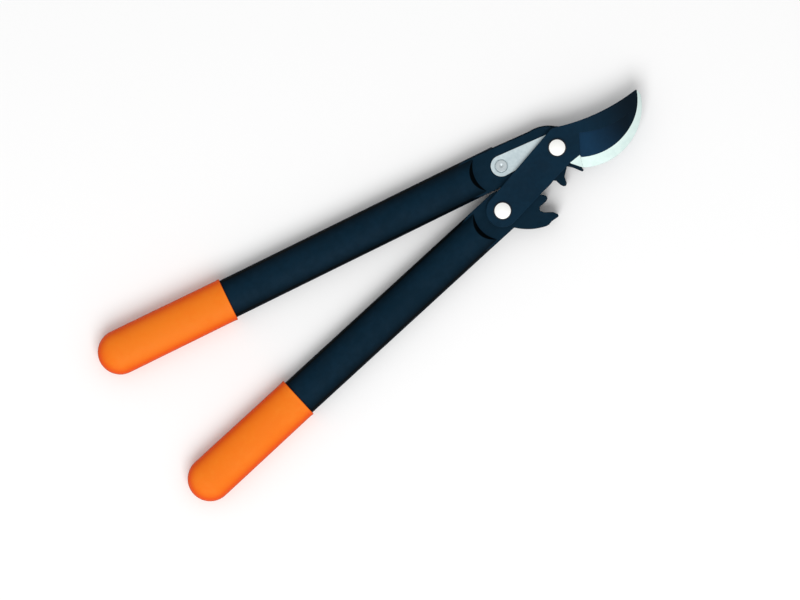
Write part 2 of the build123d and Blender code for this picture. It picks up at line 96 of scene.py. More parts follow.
# ---- node drawing ----
class Graph:
    """A node tree being drawn: adds nodes, sets their sockets and links them."""

    def __init__(self, tree: bpy.types.NodeTree) -> None:
        """Starts from an empty tree.

        Args:
            tree: The material's or group's node tree.
        """
        self.tree = tree
        self.tree.nodes.clear()

    def feed(self, socket: bpy.types.NodeSocket, value: object) -> None:
        """Links a socket to another node's output, or sets its constant.

        Args:
            socket: The input to feed.
            value: An output socket, a number, a vector or a colour.
        """
        if isinstance(value, bpy.types.NodeSocket):
            self.tree.links.new(value, socket)
        elif socket.type == "RGBA":
            socket.default_value = (*value, 1.0)
        else:
            socket.default_value = value

    def add(self, kind: str, settings: dict[str, object] | None = None,
            sockets: dict[object, object] | None = None) -> bpy.types.Node:
        """Adds one node.

        Args:
            kind: The node's type without its ShaderNode prefix.
            settings: Attributes to set on the node.
            sockets: Values or links by input name or number.

        Returns:
            The new node.
        """
        node = self.tree.nodes.new("ShaderNode" + kind)
        for name, value in (settings or {}).items():
            setattr(node, name, value)
        for name, value in (sockets or {}).items():
            self.feed(node.inputs[name], value)
        return node

    def math(self, operation: str, *values: object, clamp: bool = False) -> bpy.types.NodeSocket:
        """Result of one arithmetic step.

        Args:
            operation: The Math node's operation.
            values: Numbers or sockets, in order.
            clamp: Whether the result is held between 0 and 1.

        Returns:
            The result's socket.
        """
        settings = {"operation": operation, "use_clamp": clamp}
        return self.add("Math", settings, dict(enumerate(values))).outputs[0]

    def ramp(self, value: object, low: float, high: float) -> bpy.types.NodeSocket:
        """Smooth step of a value from 0 at low to 1 at high."""
        settings = {"interpolation_type": "SMOOTHSTEP"}
        return self.add("MapRange", settings, {0: value, 1: low, 2: high}).outputs[0]

    def mix(self, factor: object, first: object, second: object) -> bpy.types.NodeSocket:
        """Colour between two others."""
        return self.add("Mix", {"data_type": "RGBA"}, {0: factor, 6: first, 7: second}).outputs[2]

    def noise(self, place: object, scale: object, detail: float = 2.0,
              rough: float = 0.5) -> bpy.types.NodeSocket:
        """Value of a noise field, about 0 to 1."""
        sockets = {"Vector": place, "Scale": scale, "Detail": detail, "Roughness": rough}
        return self.add("TexNoise", None, sockets).outputs[0]


class Kind(Enum):
    """Socket kinds of the shared effects."""

    VALUE = "NodeSocketFloat"
    COLOUR = "NodeSocketColor"
    VECTOR = "NodeSocketVector"


class Effect:
    """A shared effect: a node group that is built once and placed in many materials."""

    title: str = ""
    inputs: tuple[tuple[str, Kind, object], ...] = ()
    outputs: tuple[tuple[str, Kind], ...] = ()

    def draw(self, graph: Graph, given: bpy.types.Node, result: bpy.types.Node) -> None:
        """Draws the group's nodes.

        Args:
            graph: The group's graph.
            given: The group's input node.
            result: The group's output node.
        """
        raise NotImplementedError

    def tree(self) -> bpy.types.NodeTree:
        """Finds the effect's node group, or builds it on its first use.

        Returns:
            The node group.
        """
        found = bpy.data.node_groups.get(self.title)
        if found is not None:
            return found
        tree = bpy.data.node_groups.new(self.title, "ShaderNodeTree")
        for name, kind, value in self.inputs:
            socket = tree.interface.new_socket(name, in_out="INPUT", socket_type=kind.value)
            if value is not None:
                socket.default_value = (*value, 1.0) if kind is Kind.COLOUR else value
        for name, kind in self.outputs:
            tree.interface.new_socket(name, in_out="OUTPUT", socket_type=kind.value)
        graph = Graph(tree)
        given = tree.nodes.new("NodeGroupInput")
        result = tree.nodes.new("NodeGroupOutput")
        self.draw(graph, given, result)
        return tree

    def place(self, graph: Graph, sockets: dict[str, object]) -> bpy.types.Node:
        """Places the effect in a material.

        Args:
            graph: The material's graph.
            sockets: Values or links by input name.

        Returns:
            The group node.
        """
        node = graph.tree.nodes.new("ShaderNodeGroup")
        node.node_tree = self.tree()
        for name, value in sockets.items():
            graph.feed(node.inputs[name], value)
        return node


class EdgeWear(Effect):
    """Rubbed edges: a mask that is 1 on the edges, broken up by noise.

    Attributes:
        samples: Rays that feel for an edge.
        edge_turn: Turn of the normal at which wear begins and is whole.
        patch_detail: Detail of the noise that breaks the wear up.
        patch_roughness: Roughness of that noise.
        patch_range: Values of that noise at which wear begins and is whole.
    """

    title: str = "edge wear"
    inputs = (("Vector", Kind.VECTOR, None), ("Radius", Kind.VALUE, 0.6 * MM), ("Amount", Kind.VALUE, 0.5),
              ("Breakup Scale", Kind.VALUE, 300.0))
    outputs = (("Mask", Kind.VALUE),)
    samples: int = 6
    edge_turn: tuple[float, float] = (0.01, 0.16)
    patch_detail: float = 4.0
    patch_roughness: float = 0.62
    patch_range: tuple[float, float] = (0.42, 0.64)

    def draw(self, graph: Graph, given: bpy.types.Node, result: bpy.types.Node) -> None:
        """Compares the rounded normal with the true one, and breaks the mask up.

        Args:
            graph: The group's graph.
            given: The group's input node.
            result: The group's output node.
        """
        radius = given.outputs["Radius"]
        rounded = graph.add("Bevel", {"samples": self.samples}, {"Radius": radius}).outputs[0]
        true = graph.add("NewGeometry").outputs["True Normal"]
        match = graph.add("VectorMath", {"operation": "DOT_PRODUCT"}, {0: rounded, 1: true}).outputs["Value"]
        edge = graph.ramp(graph.math("SUBTRACT", 1.0, match), *self.edge_turn)
        breakup = graph.noise(given.outputs["Vector"], given.outputs["Breakup Scale"], self.patch_detail,
                              self.patch_roughness)
        patches = graph.ramp(breakup, *self.patch_range)
        worn = graph.math("MULTIPLY", edge, patches)
        mask = graph.math("MULTIPLY", worn, given.outputs["Amount"], clamp=True)
        graph.feed(result.inputs["Mask"], mask)


class Mottle(Effect):
    """Slow drift of a colour towards a second one, in soft patches.

    Attributes:
        finer: How many times finer the second noise is.
        fine_share: The second noise's share of the mask.
        patch_range: Values at which a patch begins and is whole.
    """

    title: str = "mottle"
    inputs = (("Vector", Kind.VECTOR, None), ("Base", Kind.COLOUR, (0.5, 0.5, 0.5)),
              ("Second", Kind.COLOUR, (0.4, 0.4, 0.4)), ("Scale", Kind.VALUE, 40.0),
              ("Amount", Kind.VALUE, 0.5))
    outputs = (("Color", Kind.COLOUR), ("Mask", Kind.VALUE))
    finer: float = 7.3
    fine_share: float = 0.35
    patch_range: tuple[float, float] = (0.38, 0.62)

    def draw(self, graph: Graph, given: bpy.types.Node, result: bpy.types.Node) -> None:
        """Mixes a broad and a fine noise into one patch mask.

        Args:
            graph: The group's graph.
            given: The group's input node.
            result: The group's output node.
        """
        broad = graph.noise(given.outputs["Vector"], given.outputs["Scale"], detail=3.0, rough=0.55)
        finer = graph.math("MULTIPLY", given.outputs["Scale"], self.finer)
        fine = graph.noise(given.outputs["Vector"], finer)
        share = graph.math("MULTIPLY", broad, 1.0 - self.fine_share)
        both = graph.math("MULTIPLY_ADD", fine, self.fine_share, share)
        patches = graph.ramp(both, *self.patch_range)
        mask = graph.math("MULTIPLY", patches, given.outputs["Amount"], clamp=True)
        colour = graph.mix(mask, given.outputs["Base"], given.outputs["Second"])
        graph.feed(result.inputs["Color"], colour)
        graph.feed(result.inputs["Mask"], mask)


class MouldGrain(Effect):
    """Fine eroded texture of a mould, as a height in metres.

    Attributes:
        pit_range: Distances from a cell's middle at which its rim begins and is whole.
        pit_share: Height of the rims beside the noise.
    """

    title: str = "mould grain"
    inputs = (("Vector", Kind.VECTOR, None), ("Scale", Kind.VALUE, 1600.0), ("Depth", Kind.VALUE, 0.03 * MM))
    outputs = (("Height", Kind.VALUE), ("Pits", Kind.VALUE))
    pit_range: tuple[float, float] = (0.25, 0.6)
    pit_share: float = 0.5

    def draw(self, graph: Graph, given: bpy.types.Node, result: bpy.types.Node) -> None:
        """Adds cell pits to a fine noise.

        Args:
            graph: The group's graph.
            given: The group's input node.
            result: The group's output node.
        """
        place = given.outputs["Vector"]
        scale = given.outputs["Scale"]
        fine = graph.noise(place, scale, detail=3.0, rough=0.6)
        cells = graph.add("TexVoronoi", {"feature": "SMOOTH_F1"}, {"Vector": place, "Scale": scale})
        pits = graph.ramp(cells.outputs["Distance"], *self.pit_range)
        both = graph.math("MULTIPLY_ADD", pits, self.pit_share, fine)
        graph.feed(result.inputs["Height"], graph.math("MULTIPLY", both, given.outputs["Depth"]))
        graph.feed(result.inputs["Pits"], pits)


class BrushMarks(Effect):
    """Long parallel marks left by grinding or brushing, across the vector's Y.

    Attributes:
        rise: Squeeze of the marks in height.
        coarser: Density of the broad marks, over that of the fine ones.
        mask_range: Values at which the mask begins and is whole.
    """

    title: str = "brush marks"
    inputs = (("Vector", Kind.VECTOR, None), ("Density", Kind.VALUE, 2500.0), ("Length", Kind.VALUE, 0.02),
              ("Depth", Kind.VALUE, 0.01 * MM))
    outputs = (("Height", Kind.VALUE), ("Mask", Kind.VALUE))
    rise: float = 0.3
    coarser: float = 0.17
    mask_range: tuple[float, float] = (0.4, 0.6)

    def draw(self, graph: Graph, given: bpy.types.Node, result: bpy.types.Node) -> None:
        """Stretches two noises along X and adds them.

        Args:
            graph: The group's graph.
            given: The group's input node.
            result: The group's output node.
        """
        stretch = {"X": given.outputs["Length"], "Y": 1.0, "Z": self.rise}
        squeeze = graph.add("CombineXYZ", None, stretch).outputs[0]
        pair = {0: given.outputs["Vector"], 1: squeeze}
        place = graph.add("VectorMath", {"operation": "MULTIPLY"}, pair).outputs[0]
        marks = graph.noise(place, given.outputs["Density"], detail=4.0, rough=0.65)
        coarse = graph.noise(place, graph.math("MULTIPLY", given.outputs["Density"], self.coarser))
        both = graph.math("MULTIPLY_ADD", coarse, 0.5, graph.math("MULTIPLY", marks, 0.5))
        graph.feed(result.inputs["Height"], graph.math("MULTIPLY", both, given.outputs["Depth"]))
        graph.feed(result.inputs["Mask"], graph.ramp(both, *self.mask_range))


class SettledDust(Effect):
    """Pale dust in patches on the faces that look up.

    Attributes:
        upward_range: Height of the normal at which dust begins to lie and lies whole.
        patch_range: Values of the noise at which a patch begins and is whole.
    """

    title: str = "settled dust"
    inputs = (("Vector", Kind.VECTOR, None), ("Color", Kind.COLOUR, (0.5, 0.5, 0.5)),
              ("Dust", Kind.COLOUR, (0.45, 0.42, 0.37)), ("Amount", Kind.VALUE, 0.05),
              ("Scale", Kind.VALUE, 60.0))
    outputs = (("Color", Kind.COLOUR), ("Mask", Kind.VALUE))
    upward_range: tuple[float, float] = (0.2, 0.95)
    patch_range: tuple[float, float] = (0.35, 0.75)

    def draw(self, graph: Graph, given: bpy.types.Node, result: bpy.types.Node) -> None:
        """Masks a patchy noise by how far the face looks up.

        Args:
            graph: The group's graph.
            given: The group's input node.
            result: The group's output node.
        """
        normal = graph.add("NewGeometry").outputs["Normal"]
        upward = graph.ramp(graph.add("SeparateXYZ", None, {0: normal}).outputs["Z"], *self.upward_range)
        spread = graph.noise(given.outputs["Vector"], given.outputs["Scale"], detail=6.0, rough=0.7)
        patches = graph.ramp(spread, *self.patch_range)
        settled = graph.math("MULTIPLY", upward, patches)
        mask = graph.math("MULTIPLY", settled, given.outputs["Amount"], clamp=True)
        graph.feed(result.inputs["Color"], graph.mix(mask, given.outputs["Color"], given.outputs["Dust"]))
        graph.feed(result.inputs["Mask"], mask)


EDGE_WEAR = EdgeWear()
MOTTLE = Mottle()
MOULD_GRAIN = MouldGrain()
BRUSH_MARKS = BrushMarks()
SETTLED_DUST = SettledDust()


# ---- finishes ----
class Lay(Enum):
    """How a metal's marks run."""

    STRAIGHT = "straight"
    TURNED = "turned"
    FAN = "fan"


@dataclass(frozen=True)
class Plastic:
    """A moulded finish: handles, sleeves, plugs and the slide washer.

    Attributes:
        name: The material's name.
        colour: The main colour.
        second: The colour that it drifts to.
        worn: The colour of rubbed edges.
        turned: The painted shade colour that the surface darkens to as it turns away from the eye.
        roughness: The roughness away from grain and wear.
        grain: Grains per metre.
        grain_depth: Depth of the grain.
        wear: How much the edges are rubbed.
        dust: How much dust lies on it.
        specular: Specular level.
        subsurface: Subsurface weight.
        subsurface_reach: How far light spreads inside it.
        painted_shade_share: How far the surface turns away before it is wholly of the painted shade colour,
            0 to 1.
        painted_rim: The colour painted at the very edge in place of light: a painted sheen where it is
            lighter than the turned colour, a painted shade where it is darker.
        painted_rim_share: How far the surface turns away before the painted rim colour begins.
        patch_scale: Patches of the second colour per metre.
        patch_amount: How strong they are.
        wear_width: Width of the rubbed edges.
        bump: Strength of the grain.
        gloss_drift: Change of roughness over a patch, over a grain's rim and under dust.
    """

    name: str
    colour: Colour
    second: Colour
    worn: Colour
    # painted shade: the colour that the surface darkens to as it turns away from the eye
    turned: Colour
    roughness: float = 0.45
    grain: float = 1600.0
    grain_depth: float = 0.02 * MM
    wear: float = 0.4
    dust: float = 0.04
    specular: float = 0.5
    subsurface: float = 0.0
    subsurface_reach: float = 1.5 * MM
    painted_shade_share: float = 0.34
    painted_rim: Colour = (0.02, 0.02, 0.02)
    painted_rim_share: float = 0.45
    patch_scale: float = 28.0
    patch_amount: float = 0.8
    wear_width: float = 0.45 * MM
    bump: float = 0.6
    gloss_drift: tuple[float, float, float] = (0.08, 0.05, 0.3)

    def material(self) -> bpy.types.Material:
        """Finds the finish's material, or makes it on its first use.

        Returns:
            The material.
        """
        found = bpy.data.materials.get(self.name)
        if found is not None:
            return found
        material = bpy.data.materials.new(self.name)
        material.use_nodes = True
        graph = Graph(material.node_tree)
        place = graph.add("TexCoord").outputs["Object"]
        mottle = MOTTLE.place(graph, {"Vector": place, "Base": self.colour, "Second": self.second,
                                      "Scale": self.patch_scale, "Amount": self.patch_amount})
        wear = EDGE_WEAR.place(graph, {"Vector": place, "Radius": self.wear_width, "Amount": self.wear,
                                       "Breakup Scale": 420.0})
        # Painted shade: the colour turns towards the painted shade colour as the surface turns away from the
        # eye.
        facing = graph.add("LayerWeight", None, {"Blend": 0.5}).outputs["Facing"]
        painted_shading = graph.mix(graph.ramp(facing, 0.0, self.painted_shade_share), mottle.outputs["Color"], self.turned)
        # Painted sheen or painted shade at the very edge, by how far the surface turns away from the eye.
        painted_shading = graph.mix(graph.ramp(facing, self.painted_rim_share, 1.0), painted_shading, self.painted_rim)
        rubbed = graph.mix(wear.outputs["Mask"], painted_shading, self.worn)
        dust = SETTLED_DUST.place(graph, {"Vector": place, "Color": rubbed, "Amount": self.dust,
                                          "Scale": 90.0})
        grain = MOULD_GRAIN.place(graph, {"Vector": place, "Scale": self.grain, "Depth": self.grain_depth})
        bump = graph.add("Bump", None, {"Strength": self.bump, "Distance": 1.0,
                                        "Height": grain.outputs["Height"]})
        over_patch, over_grain, under_dust = self.gloss_drift
        smooth = self.roughness - over_patch / 2
        drift = graph.math("MULTIPLY_ADD", mottle.outputs["Mask"], over_patch, smooth)
        matt = graph.math("MULTIPLY_ADD", grain.outputs["Pits"], over_grain, drift)
        rough = graph.math("MULTIPLY_ADD", dust.outputs["Mask"], under_dust, matt, clamp=True)
        shader = graph.add("BsdfPrincipled", None, {
            "Base Color": dust.outputs["Color"], "Roughness": rough, "Normal": bump.outputs[0],
            "Specular IOR Level": self.specular, "Subsurface Weight": self.subsurface,
            "Subsurface Scale": self.subsurface_reach})
        graph.add("OutputMaterial", None, {"Surface": shader.outputs[0]})
        return material


@dataclass(frozen=True)
class Metal:
    """A metal finish: blade, hook, bolts, nuts, washers and bushes.

    Attributes:
        name: The material's name.
        colour: The main colour.
        second: The colour that it drifts to.
        worn: The colour of rubbed edges.
        metallic: How much of it is bare metal.
        roughness: The roughness between its marks.
        lay: How its marks run.
        turn: Direction of straight marks in degrees, in plan.
        centre: Centre of fanned marks, in plan.
        density: Marks per metre, or per turn where they are fanned.
        depth: Depth of the marks.
        wear: How much the edges are rubbed.
        dust: How much dust lies on it.
        specular: Specular level.
        far: The painted shade that it darkens to towards the tip, if it has one.
        painted_shade_span: Where along X that painted shade begins and ends.
        patch_scale: Patches of the second colour per metre.
        patch_amount: How strong they are.
        wear_width: Width of the rubbed edges.
        bump: Strength of the marks.
        gloss_drift: Change of roughness over a mark and over a patch.
    """

    name: str
    colour: Colour
    second: Colour
    worn: Colour
    metallic: float = 1.0
    roughness: float = 0.3
    lay: Lay = Lay.STRAIGHT
    turn: float = 0.0
    centre: tuple[float, float] = (0.0, 0.0)
    density: float = 2500.0
    depth: float = 0.006 * MM
    wear: float = 0.4
    dust: float = 0.03
    specular: float = 0.5
    far: Colour | None = None
    painted_shade_span: tuple[float, float] = (22.0 * MM, 70.0 * MM)
    patch_scale: float = 55.0
    patch_amount: float = 0.7
    wear_width: float = 0.25 * MM
    bump: float = 0.5
    gloss_drift: tuple[float, float] = (0.1, 0.06)

    def marks_place(self, graph: Graph, coordinates: bpy.types.Node) -> bpy.types.NodeSocket:
        """Vector whose Y runs across the marks.

        Args:
            graph: The material's graph.
            coordinates: The material's Texture Coordinate node.

        Returns:
            The vector's socket.
        """
        if self.lay is Lay.STRAIGHT:
            turned = graph.add("Mapping", None, {"Vector": coordinates.outputs["Object"],
                                                 "Rotation": (0.0, 0.0, -math.radians(self.turn))})
            return turned.outputs[0]
        if self.lay is Lay.TURNED:
            moved = graph.add("VectorMath", {"operation": "SUBTRACT"},
                              {0: coordinates.outputs["Generated"], 1: (0.5, 0.5, 0.0)}).outputs[0]
        else:
            moved = graph.add("VectorMath", {"operation": "SUBTRACT"},
                              {0: coordinates.outputs["Object"], 1: (*self.centre, 0.0)}).outputs[0]
        parts = graph.add("SeparateXYZ", None, {0: moved})
        across = graph.math("ARCTAN2", parts.outputs["Y"], parts.outputs["X"])
        squares = [graph.math("MULTIPLY", parts.outputs[axis], parts.outputs[axis]) for axis in ("X", "Y")]
        out = graph.math("SQRT", graph.math("ADD", *squares))
        ends = {"X": across, "Y": out} if self.lay is Lay.TURNED else {"X": out, "Y": across}
        return graph.add("CombineXYZ", None, ends).outputs[0]

    def material(self) -> bpy.types.Material:
        """Finds the finish's material, or makes it on its first use.

        Returns:
            The material.
        """
        found = bpy.data.materials.get(self.name)
        if found is not None:
            return found
        material = bpy.data.materials.new(self.name)
        material.use_nodes = True
        graph = Graph(material.node_tree)
        coordinates = graph.add("TexCoord")
        place = coordinates.outputs["Object"]
        mottle = MOTTLE.place(graph, {"Vector": place, "Base": self.colour, "Second": self.second,
                                      "Scale": self.patch_scale, "Amount": self.patch_amount})
        wear = EDGE_WEAR.place(graph, {"Vector": place, "Radius": self.wear_width, "Amount": self.wear,
                                       "Breakup Scale": 700.0})
        shade = mottle.outputs["Color"]
        # Painted shade: the colour darkens along X towards the blade's tip.
        if self.far is not None:
            reach = graph.add("SeparateXYZ", None, {0: place}).outputs["X"]
            shade = graph.mix(graph.ramp(reach, *self.painted_shade_span), shade, self.far)
        rubbed = graph.mix(wear.outputs["Mask"], shade, self.worn)
        dust = SETTLED_DUST.place(graph, {"Vector": place, "Color": rubbed, "Amount": self.dust,
                                          "Scale": 120.0})
        marks = BRUSH_MARKS.place(graph, {"Vector": self.marks_place(graph, coordinates),
                                          "Density": self.density, "Depth": self.depth})
        bump = graph.add("Bump", None, {"Strength": self.bump, "Distance": 1.0,
                                        "Height": marks.outputs["Height"]})
        over_mark, over_patch = self.gloss_drift
        scored = graph.math("MULTIPLY_ADD", marks.outputs["Mask"], over_mark, self.roughness - over_mark / 2)
        rough = graph.math("MULTIPLY_ADD", mottle.outputs["Mask"], over_patch, scored, clamp=True)
        sockets = {"Base Color": dust.outputs["Color"], "Roughness": rough, "Normal": bump.outputs[0],
                   "Specular IOR Level": self.specular}
        if 0.0 < self.metallic < 1.0:
            sockets["Metallic"] = graph.math("MAXIMUM", self.metallic, wear.outputs["Mask"])
        else:
            sockets["Metallic"] = self.metallic
        shader = graph.add("BsdfPrincipled", None, sockets)
        graph.add("OutputMaterial", None, {"Surface": shader.outputs[0]})
        return material


Finish = Plastic | Metal

# Navy nylon: srgb(0, 4, 7) is painted shade where the surface turns away, and the lighter rim colour
# srgb(16, 40, 56) is a painted sheen at the very edge.
NAVY_NYLON = Plastic(
    "nylon_moulding", srgb(9, 35, 51), srgb(6, 30, 44), srgb(44, 70, 88), srgb(0, 4, 7),
    roughness=0.55, wear=0.35, dust=0.003, specular=0.035, painted_rim=srgb(16, 40, 56))
# Orange sleeve: the turned colour srgb(222, 78, 5) and the dark brown rim srgb(150, 48, 6) are painted shade
# towards and at the silhouette.
ORANGE_SLEEVE = Plastic(
    "sleeve_rubber", srgb(236, 122, 26), srgb(236, 116, 20), srgb(252, 158, 78), srgb(222, 78, 5),
    roughness=0.55, grain=1100.0, grain_depth=0.03 * MM, wear=0.2, dust=0.006, specular=0.1,
    subsurface=0.05, painted_shade_share=0.5, painted_rim=srgb(150, 48, 6), painted_rim_share=0.6)
# End plug: the turned colour srgb(8, 9, 10) and the default near-black rim are painted shade towards the
# silhouette.
PLUG_PLASTIC = Plastic(
    "plug_moulding", srgb(24, 26, 28), srgb(18, 20, 22), srgb(80, 84, 88), srgb(8, 9, 10),
    roughness=0.55)
# Slide washer: the turned colour srgb(190, 184, 166) and the default near-black rim are painted shade
# towards the silhouette.
SLIDE_POLYMER = Plastic(
    "washer_moulding", srgb(226, 222, 206), srgb(210, 204, 186), srgb(240, 238, 228),
    srgb(190, 184, 166), roughness=0.5, wear=0.2, dust=0.06, subsurface=0.1)
# Blade coat: its colour darkens towards the tip to srgb(4, 18, 28), a painted shade.
BLADE_COAT_PAINTED_TIP_SHADE = Metal(
    "blade_coat_painted_tip_shade", srgb(9, 38, 56), srgb(6, 32, 48), srgb(80, 104, 120), metallic=0.0, roughness=0.45,
    density=900.0, depth=0.003 * MM, wear=0.3, specular=0.05, dust=0.003, far=srgb(4, 18, 28))
# Recessed face: a lighter copy of the blade coat, a painted highlight, that darkens towards the tip as
# painted shade.
RECESS_COAT_PAINTED_LIGHT = Metal(
    "recess_coat_painted_light", srgb(17, 50, 76), srgb(14, 45, 69), srgb(80, 104, 120), metallic=0.0, roughness=0.5,
    density=900.0, depth=0.003 * MM, wear=0.3, specular=0.05, dust=0.003, far=srgb(4, 20, 31),
    painted_shade_span=(18.0 * MM, 56.0 * MM))
GROUND_EDGE = Metal(
    "ground_edge", srgb(216, 234, 230), srgb(202, 222, 218), srgb(248, 252, 252), metallic=0.1,
    roughness=0.45, lay=Lay.FAN, density=420.0, depth=0.012 * MM, wear=0.3, specular=0.2)
GROUND_HOOK = Metal(
    "ground_hook", srgb(200, 214, 218), srgb(176, 192, 198), srgb(236, 242, 242), metallic=0.3,
    roughness=0.42, turn=26.0, depth=0.02 * MM, specular=0.4)
# Bolt caps: a near-white, nearly non-metallic colour that stands in for the chrome's bright reflection, a
# painted reflection.
BOLT_PAINTED_REFLECTION = Metal(
    "bolt_painted_reflection", srgb(249, 249, 246), srgb(243, 243, 240), srgb(252, 252, 250), metallic=0.05,
    roughness=0.4, lay=Lay.TURNED, density=60.0, depth=0.004 * MM, wear=0.2, dust=0.0)
RIVET_STEEL = Metal(
    "rivet_steel", srgb(196, 206, 209), srgb(176, 187, 192), srgb(236, 240, 240), metallic=0.5,
    roughness=0.34, lay=Lay.TURNED, density=60.0)
ZINC_PLATE = Metal(
    "zinc_plating", srgb(196, 200, 200), srgb(170, 178, 184), srgb(230, 232, 232), roughness=0.36,
    lay=Lay.TURNED, density=45.0)
# Head washers: dark so that they draw a thin dark ring round each bolt cap, a painted shade.
WASHER_PAINTED_SHADE = Metal(
    "washer_painted_shade", srgb(30, 36, 42), srgb(22, 28, 34), srgb(120, 124, 128), metallic=0.6,
    roughness=0.4, lay=Lay.TURNED, density=45.0, wear=0.25)
BUSH_BRONZE = Metal(
    "bush_bronze", srgb(184, 132, 74), srgb(158, 108, 60), srgb(222, 178, 118), roughness=0.32,
    density=1500.0)


# ---- mesh work ----
def clad(piece: bpy.types.Object, *finishes: Finish) -> None:
    """Gives an object its finishes, one for each material slot, in order.

    Args:
        piece: The object to dress.
        finishes: What its slots wear.
    """
    slots = piece.data.materials
    while len(slots) < len(finishes):
        slots.append(None)
    for number in range(len(slots)):
        slots[number] = finishes[min(number, len(finishes) - 1)].material()


def enter(name: str, mesh: bpy.types.Mesh, body: str, nodes: tuple[str, ...]) -> bpy.types.Object:
    """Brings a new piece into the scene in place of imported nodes.

    Args:
        name: The piece's name.
        mesh: Its mesh, in place.
        body: The body that it rides on.
        nodes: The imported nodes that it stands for.

    Returns:
        The new object.
    """
    piece = bpy.data.objects.new(name, mesh)
    bpy.context.scene.collection.objects.link(piece)
    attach(piece, body)
    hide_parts(*nodes)
    return piece


def welded(node: str) -> bmesh.types.BMesh:
    """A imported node's shape with its faces joined up and its flat faces made whole.

    Args:
        node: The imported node.

    Returns:
        The shape, to be finished and freed by the caller.
    """
    shape = bmesh.new()
    shape.from_mesh(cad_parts[node].data)
    bmesh.ops.remove_doubles(shape, verts=shape.verts, dist=WELD)
    bmesh.ops.dissolve_limit(shape, angle_limit=FLAT_TURN, verts=shape.verts, edges=shape.edges)
    return shape


def round_edges(shape: bmesh.types.BMesh, width: float, least_turn: float = 20.0, segments: int = 2) -> None:
    """Rounds the sharp edges of a shape and sets it to shade smoothly.

    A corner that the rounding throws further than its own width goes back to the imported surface.

    Args:
        shape: The shape.
        width: Width of the rounding.
        least_turn: Edges that turn by fewer degrees stay as they are.
        segments: Steps across the rounding.
    """
    limit = math.radians(least_turn)
    packed = BVHTree.FromBMesh(shape)
    sharp = [edge for edge in shape.edges if edge.is_manifold and edge.calc_face_angle() > limit]
    bmesh.ops.bevel(shape, geom=sharp, offset=width, offset_type="OFFSET", segments=segments, profile=0.5,
                    affect="EDGES", clamp_overlap=False, material=-1)
    for vert in shape.verts:
        nearest, _, _, distance = packed.find_nearest(vert.co)
        if distance > width:
            vert.co = nearest
    for face in shape.faces:
        face.smooth = True


def spread_from(seeds: list[bmesh.types.BMFace], most_turn: float) -> set[bmesh.types.BMFace]:
    """Faces that run on smoothly from the first ones.

    Args:
        seeds: The first faces.
        most_turn: Greatest turn in degrees between neighbours.

    Returns:
        The seeds and every face that they run on to.
    """
    limit = math.radians(most_turn)
    found = set(seeds)
    waiting = list(seeds)
    while waiting:
        face = waiting.pop()
        for edge in face.edges:
            if not edge.is_manifold or edge.calc_face_angle() > limit:
                continue
            for other in edge.link_faces:
                if other not in found:
                    found.add(other)
                    waiting.append(other)
    return found


def keep(shape: bmesh.types.BMesh, name: str) -> bpy.types.Mesh:
    """Turns a shape into a mesh and frees it.

    Args:
        shape: The shape.
        name: The mesh's name.

    Returns:
        The mesh.
    """
    mesh = bpy.data.meshes.new(name)
    shape.to_mesh(mesh)
    shape.free()
    return mesh


def even_shading(piece: bpy.types.Object) -> None:
    """Lets the large faces of a piece set the shading of its corners.

    Args:
        piece: The piece.
    """
    modifier = piece.modifiers.new("even shading", "WEIGHTED_NORMAL")
    modifier.weight = 80
    modifier.keep_sharp = True


@dataclass
class Axis:
    """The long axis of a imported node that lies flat.

    Attributes:
        node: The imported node.
        start: Middle of the node's end that is nearest to the pivots.
        along: Unit vector from there to the node's far end.
        across: Unit vector across it, level.
        length: The node's length.
        half_width: Half its width.
        half_height: Half its height.
        first_step: First step of the search for the axis, in degrees.
        last_step: The search ends when its step is smaller than this.
        narrowing: Each step of the search is this many times smaller than the one before.
    """

    node: str
    first_step: float = 8.0
    last_step: float = 0.001
    narrowing: float = 1.6
    start: Vector = field(init=False)
    along: Vector = field(init=False)
    across: Vector = field(init=False)
    length: float = field(init=False)
    half_width: float = field(init=False)
    half_height: float = field(init=False)

    def __post_init__(self) -> None:
        """Finds the direction in which the node is narrowest."""
        spots = [vertex.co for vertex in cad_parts[self.node].data.vertices]

        def spread(angle: float) -> tuple[float, float]:
            """Lowest and highest place across a direction."""
            places = [spot.y * math.cos(angle) - spot.x * math.sin(angle) for spot in spots]
            return min(places), max(places)

        def width(angle: float) -> float:
            """Width across a direction."""
            low, high = spread(angle)
            return high - low

        angle = 0.0
        step = math.radians(self.first_step)
        while step > math.radians(self.last_step):
            angle = min((angle - step, angle, angle + step), key=width)
            step /= self.narrowing
        self.along = Vector((-math.cos(angle), -math.sin(angle), 0.0))
        self.across = Vector((-math.sin(angle), math.cos(angle), 0.0))
        low, high = spread(angle)
        reaches = [spot.dot(self.along) for spot in spots]
        heights = [spot.z for spot in spots]
        self.length = max(reaches) - min(reaches)
        self.half_width = (high - low) / 2
        self.half_height = (max(heights) - min(heights)) / 2
        middle = (max(heights) + min(heights)) / 2
        self.start = min(reaches) * self.along + (low + high) / 2 * self.across + Vector((0.0, 0.0, middle))

    def spot(self, reach: float, side: float, rise: float) -> Vector:
        """Point at a reach along the axis, a side step and a rise."""
        return self.start + reach * self.along + side * self.across + Vector((0.0, 0.0, rise))


